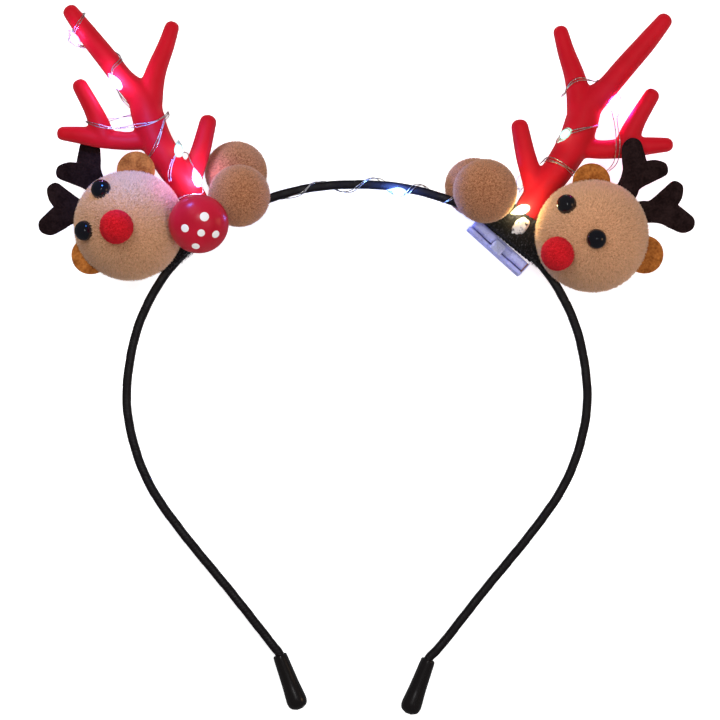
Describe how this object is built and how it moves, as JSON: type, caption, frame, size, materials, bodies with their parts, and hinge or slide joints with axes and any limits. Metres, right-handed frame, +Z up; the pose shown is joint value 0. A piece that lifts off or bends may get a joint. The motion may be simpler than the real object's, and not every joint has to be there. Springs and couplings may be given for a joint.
{
  "type": "reindeer antler headband",
  "caption": "Ribbon-wound hoop headband with red moulded antlers, plush reindeer heads, pompoms, a toadstool and a fairy light string.",
  "frame": {"origin": "on the surface it lies on, below the middle of its bounding box", "axes": "+X to the viewer's right when the faces are seen, +Y towards the antler tips, +Z up from the surface, the way the faces look"},
  "size_m": [0.1965, 0.2117, 0.0464],
  "materials": {
    "ribbon": "black ribbon wound over a steel strip",
    "rubber": "glossy black rubber",
    "knit": "black rib knit",
    "red_plastic": "satin soft-touch red plastic",
    "plush": "short tan plush",
    "pompom": "dense tan pompom yarn",
    "ear_felt": "mustard felt",
    "dark_felt": "dark brown felt",
    "bead": "glossy black bead",
    "nose_plush": "red flock",
    "toadstool_red": "glossy red lacquer",
    "toadstool_stem": "plain off-white foam",
    "white_paint": "white paint dots",
    "hot_glue": "set hot glue, satin",
    "milky_plastic": "milky translucent plastic",
    "switch_plastic": "white plastic",
    "silver_wire": "fine silver wire",
    "light_pink": "clear drop, lit pink",
    "light_green": "clear drop, lit green",
    "light_blue": "clear drop, lit blue",
    "light_warm": "clear drop, lit warm white"
  },
  "bodies": {
    "headband": {"band": "ribbon", "end_cap_left": "rubber", "end_cap_right": "rubber", "pad_left": "knit", "pad_right": "knit", "antler_left": "red_plastic", "antler_right": "red_plastic", "head_left": "plush", "head_right": "plush", "mushroom_cap": "toadstool_red", "mushroom_stem": "toadstool_stem", "glue_blob": "hot_glue", "nose_left": "nose_plush", "nose_right": "nose_plush", "battery_box": "milky_plastic", "battery_lid": "milky_plastic", "ear_left_top": "ear_felt", "felt_antler_left_top": "dark_felt", "eye_left_top": "bead", "ear_left_low": "ear_felt", "felt_antler_left_low": "dark_felt", "eye_left_low": "bead", "pompom_left_front": "pompom", "pompom_left_back": "pompom", "ear_right_top": "ear_felt", "felt_antler_right_top": "dark_felt", "eye_right_top": "bead", "ear_right_low": "ear_felt", "felt_antler_right_low": "dark_felt", "eye_right_low": "bead", "pompom_right_front": "pompom", "pompom_right_back": "pompom", "light_left_outer_tine": "light_pink", "light_left_fork": "light_pink", "light_left_beam": "light_green", "light_left_spur": "light_pink", "light_crown": "light_blue", "light_right_beam": "light_green", "light_right_fork": "light_pink", "light_right_foot": "light_warm", "light_right_spur": "light_warm"},
    "switch": {"switch_slider": "switch_plastic"}
  },
  "joints": [
    {"name": "power_switch", "type": "slide", "parent": "headband", "child": "switch", "axis": [0.7431, -0.6663, -0.0613], "range_m": [0, 0.002]}
  ]
}
